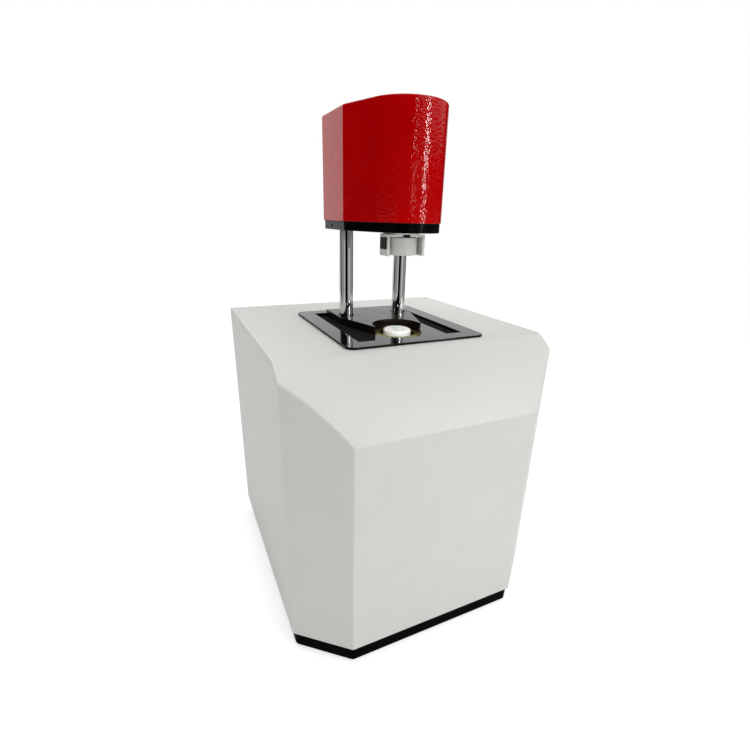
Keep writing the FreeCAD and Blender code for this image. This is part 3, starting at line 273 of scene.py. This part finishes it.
def dark_finish(name, color, roughness, grain, depth, **sockets):
    """Black coatings, mouldings and rubber, told apart by gloss and grain."""
    look = Look(name, color, roughness, **sockets)
    look.vary_color(look.noise(0.02, 3), 0.8, 1.25)
    look.vary_roughness(look.noise(grain * 2, 3), max(roughness - 0.08, 0.05), roughness + 0.08)
    look.bump(look.noise(grain, 3, 0.6), depth, 0.5)
    return look


def metal(name, color, roughness, stretch=EVEN, grain=0.0008):
    """Machined or ground metal, with tool marks along the stretched axes."""
    look = Look(name, color, roughness, 1.0)
    look.vary_color(look.noise(0.015, 3), 0.93, 1.05)
    look.vary_roughness(look.noise(grain, 3, 0.6, stretch), max(roughness - 0.07, 0.05), roughness + 0.1)
    look.bump(look.noise(grain, 3, 0.6, stretch), 0.00002, 0.4)
    return look


def circuit_board():
    """Green solder mask with faint track lines."""
    look = Look("board_solder_mask", (0.008, 0.09, 0.03), 0.3, Coat_Weight=0.3)
    bricks = look.node("ShaderNodeTexBrick", Scale=120, Color1=WHITE, Color2=(*grey(0.8), 1))
    look.link(look.place(), bricks.inputs["Vector"])
    look.vary_color(bricks.outputs["Fac"], 0.8, 1.9, 0, 1)
    look.bump(bricks.outputs["Fac"], 0.00003, 0.6)
    return look


def make_looks():
    return {
        "casing_paint": powder_coat(),
        "base_black": dark_finish("base_satin_black", grey(0.0008), 0.4, 0.001, 0.00008,
                                  Specular_IOR_Level=0.012),
        "rubber_black": dark_finish("rubber_matte", grey(0.012), 0.75, 0.0007, 0.0001),
        "tray_gloss": polished_black(),
        "deck_satin": satin_deck(),
        "column_chrome": ground_chrome(),
        "head_red": red_enamel(),
        "head_black": dark_finish("plate_anodised_black", grey(0.001), 0.2, 0.0006, 0.00002,
                                  Specular_IOR_Level=0.09),
        "guard_white": natural_plastic("guard_natural_white", (0.72, 0.73, 0.69), 0.36),
        "cap_white": natural_plastic("cap_moulded_white", (0.9, 0.9, 0.85), 0.24, 0.3),
        "button_black": dark_finish("button_black", grey(0.004), 0.3, 0.0008, 0.00002,
                                    Specular_IOR_Level=0.05),
        "stub_brass": metal("stub_turned_brass", (0.55, 0.38, 0.12), 0.26, TURNED),
        "block_brass": metal("block_turned_brass", (0.25, 0.2, 0.025), 0.28, TURNED),
        "machined_aluminium": metal("machined_aluminium", (0.68, 0.69, 0.7), 0.3, TURNED),
        "shaft_steel": metal("shaft_ground_steel", (0.56, 0.56, 0.57), 0.22, DRAWN),
        "heater_steel": metal("plated_sheet_steel", grey(0.5), 0.34, grain=0.004),
        "screw_steel": metal("screw_zinc", (0.55, 0.55, 0.56), 0.28, grain=0.002),
        "housing_black": dark_finish("housing_moulded_black", (0.01, 0.01, 0.011), 0.45, 0.0009, 0.00006),
        "motor_black": dark_finish("motor_enamel_black", (0.008, 0.008, 0.009), 0.35, 0.0012, 0.00006),
        "board_green": circuit_board(),
    }


# Nodes with a finish of their own, beside that of their material slot
OWN_LOOKS = {"deck_plate": "deck_satin", "coolant_stubs": "stub_brass"}


def dress_nodes(looks):
    for name, item in nodes.items():
        item.data.materials.clear()
        item.data.materials.append(looks[OWN_LOOKS.get(name, slots[name])].material)


# Studio

FLOOR_FRONT = -1.3
FLOOR_BACK = 4.5
FLOOR_HALF_WIDTH = 1.8

# Levels of light, where 1 is white
FLOOR_GLOW = 0.62
AMBIENT = 0.46
ROOM = 0.012
GROUND = 0.3
WINDOWS = 0.9

# Edges of the world's parts, as components of the direction in which a reflection looks. Along its
# axis a part fades in from the first number to the second.
BACKDROP_EDGE = (0.62, 0.74)
GROUND_EDGES = (("Z", 0.0, -0.05), ("Y", 0.3, 0.2))
WINDOW_EDGES = (("X", 0.1, 0.35), ("Z", 0.14, 0.19), ("Z", 0.45, 0.35), ("Y", 0.25, 0.1))


def plain_world():
    """White to the camera. In reflections a white backdrop behind the object, pale ground below,
    a dim room in front and bright windows high on the right. A plain soft level of light for
    everything else."""
    world = bpy.data.worlds.new("studio")
    bpy.context.scene.world = world
    world.use_nodes = True
    tree = world.node_tree
    background = tree.nodes["Background"]
    path = tree.nodes.new("ShaderNodeLightPath")
    direction = tree.nodes.new("ShaderNodeTexCoord")
    split = tree.nodes.new("ShaderNodeSeparateXYZ")
    tree.links.new(direction.outputs["Generated"], split.inputs[0])

    def bounded(level, edges):
        """The level where the direction is inside all edges, and 0 outside them."""
        for axis, start, end in edges:
            inside = step_node(tree, split.outputs[axis], start, end)
            level = math_node(tree, "MULTIPLY", inside, level)
        return level

    backdrop = step_node(tree, split.outputs["Y"], *BACKDROP_EDGE, ROOM, 1.0)
    ground = bounded(GROUND, GROUND_EDGES)
    windows = bounded(WINDOWS, WINDOW_EDGES)
    mirrored = math_node(tree, "MAXIMUM", math_node(tree, "MAXIMUM", backdrop, ground), windows)
    glossy = math_node(tree, "MAXIMUM", path.outputs["Is Glossy Ray"], path.outputs["Is Transmission Ray"])
    rest = math_node(tree, "MULTIPLY", math_node(tree, "SUBTRACT", 1.0, glossy), AMBIENT)
    level = math_node(tree, "ADD", math_node(tree, "MULTIPLY", glossy, mirrored), rest)
    seen = math_node(tree, "MAXIMUM", level, path.outputs["Is Camera Ray"])
    background.inputs["Color"].default_value = WHITE
    tree.links.new(seen, background.inputs["Strength"])


def flat_mesh(name, left, right, front, back, look):
    """A rectangle in its own XY plane."""
    mesh = bpy.data.meshes.new(name)
    corners = [(left, front, 0), (right, front, 0), (right, back, 0), (left, back, 0)]
    mesh.from_pydata(corners, [], [(0, 1, 2, 3)])
    mesh.materials.append(look.material)
    return mesh


def make_floor():
    """A plain pale floor that is white where no shadow falls."""
    look = Look("floor_white", grey(0.86), 0.9, Specular_IOR_Level=0.0)
    path = look.node("ShaderNodeLightPath")
    seen = look.math("MULTIPLY", path.outputs["Is Camera Ray"], FLOOR_GLOW)
    glossy = look.math("MAXIMUM", path.outputs["Is Glossy Ray"], path.outputs["Is Transmission Ray"])
    level = look.math("MAXIMUM", seen, look.math("MULTIPLY", glossy, GROUND))
    look.shader.inputs["Emission Color"].default_value = WHITE
    look.link(level, look.shader.inputs["Emission Strength"])
    mesh = flat_mesh("floor", -FLOOR_HALF_WIDTH, FLOOR_HALF_WIDTH, FLOOR_FRONT, FLOOR_BACK, look)
    floor = bpy.data.objects.new("floor", mesh)
    bpy.context.collection.objects.link(floor)


def hang(name, data, place, target):
    """Hangs a lamp or card at a place, facing the target and unseen by the camera."""
    item = bpy.data.objects.new(name, data)
    item.location = place
    item.rotation_euler = (Vector(target) - Vector(place)).to_track_quat("-Z", "Y").to_euler()
    item.visible_camera = False
    bpy.context.collection.objects.link(item)
    return item


def softbox(name, place, target, width, height, brightness, glossy=True):
    """A rectangular lamp whose face is `brightness` times as bright as a white wall."""
    data = bpy.data.lights.new(name, "AREA")
    data.shape = "RECTANGLE"
    data.size = width
    data.size_y = height
    data.energy = brightness * math.pi * width * height
    lamp = hang(name, data, place, target)
    lamp.visible_glossy = glossy


def spot(name, place, target, radius, brightness):
    """A small focused lamp that lights a disc of `radius` round its target as brightly as
    `brightness` times full white light would."""
    data = bpy.data.lights.new(name, "SPOT")
    distance = (Vector(target) - Vector(place)).length
    data.spot_size = 2 * math.atan(radius / distance)
    data.spot_blend = 0.4
    data.shadow_soft_size = 0.015
    data.energy = brightness * 4 * math.pi ** 2 * distance ** 2
    lamp = hang(name, data, place, target)
    lamp.visible_glossy = False


def card(name, place, target, width, height, brightness):
    """A flat card beside the lamps that only reflections see: a dark flag or a bright strip."""
    look = Look(name, grey(0), 1.0, Specular_IOR_Level=0.0)
    look.shader.inputs["Emission Color"].default_value = WHITE
    look.shader.inputs["Emission Strength"].default_value = brightness
    mesh = flat_mesh(name, -width / 2, width / 2, -height / 2, height / 2, look)
    item = hang(name, mesh, place, target)
    item.visible_diffuse = False
    item.visible_shadow = False
    item.visible_transmission = False


def around(bearing, distance, height):
    """A place at a bearing from straight behind the object, positive to the left."""
    angle = math.radians(bearing)
    return (-math.sin(angle) * distance, math.cos(angle) * distance, height)


CAP_Z = 0.3195
GUARD_Z = 0.403
STRIP_Z = 0.735
STRIP_LENGTH = 0.62
STRIP_DISTANCE = 1.5
LOW_CARD_Z = 0.1
LOW_CARD_HEIGHT = 0.46
LOW_CARD_DISTANCE = 1.6
BODY_MIDDLE = (0, 0, 0.25)
ABOVE_TRAY = (0, 0, 0.35)
HEAD_MIDDLE = (0, 0, 0.48)


def make_lamps():
    """Soft light from the front right, from above, from low in front and from the left, and two small
    spots on the cap and the guard."""
    softbox("key", (1.0, -1.4, 1.7), BODY_MIDDLE, 1.3, 1.3, 2.35)
    softbox("overhead", (0.2, 0.3, 2.2), (0, 0, 0.3), 1.6, 1.6, 1.6)
    softbox("fill", (0.3, -0.85, 0.05), (0, 0, 0.14), 1.0, 0.25, 1.2, glossy=False)
    softbox("fill_left", (-2.0, 0.9, 0.4), BODY_MIDDLE, 1.0, 1.0, 0.75, glossy=False)
    cup_low, cup_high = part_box("coupling_cup")
    axis_y = (cup_low[1] + cup_high[1]) / 2
    spot("spot_cap", (-0.35, -1.2, 0.95), (0, axis_y, CAP_Z), 0.022, 0.9)
    spot("spot_guard", (-0.2, -1.3, 0.25), (0, axis_y, GUARD_Z), 0.04, 0.12)


def make_cards():
    """Two bright strips for the head's highlights, a dark flag and two pale cards for the chrome."""
    strip_right = around(-147, STRIP_DISTANCE, STRIP_Z)
    strip_front = around(-178, STRIP_DISTANCE, STRIP_Z)
    window = around(-152, LOW_CARD_DISTANCE, LOW_CARD_Z)
    bounce = around(131, LOW_CARD_DISTANCE, LOW_CARD_Z)
    card("strip_right", strip_right, HEAD_MIDDLE, 0.055, STRIP_LENGTH, 50.0)
    card("strip_front", strip_front, HEAD_MIDDLE, 0.025, STRIP_LENGTH, 18.0)
    card("operator_flag", around(162, 0.9, 0.19), (0, 0, 0.19), 0.56, 0.42, 0.0)
    card("window_card", window, ABOVE_TRAY, 0.62, LOW_CARD_HEIGHT, 0.62)
    card("bounce_card", bounce, ABOVE_TRAY, 0.34, LOW_CARD_HEIGHT, 0.6)


make_camera()
plain_world()
make_floor()
make_lamps()
make_cards()
dress_nodes(make_looks())

bpy.context.scene.view_settings.view_transform = "Standard"
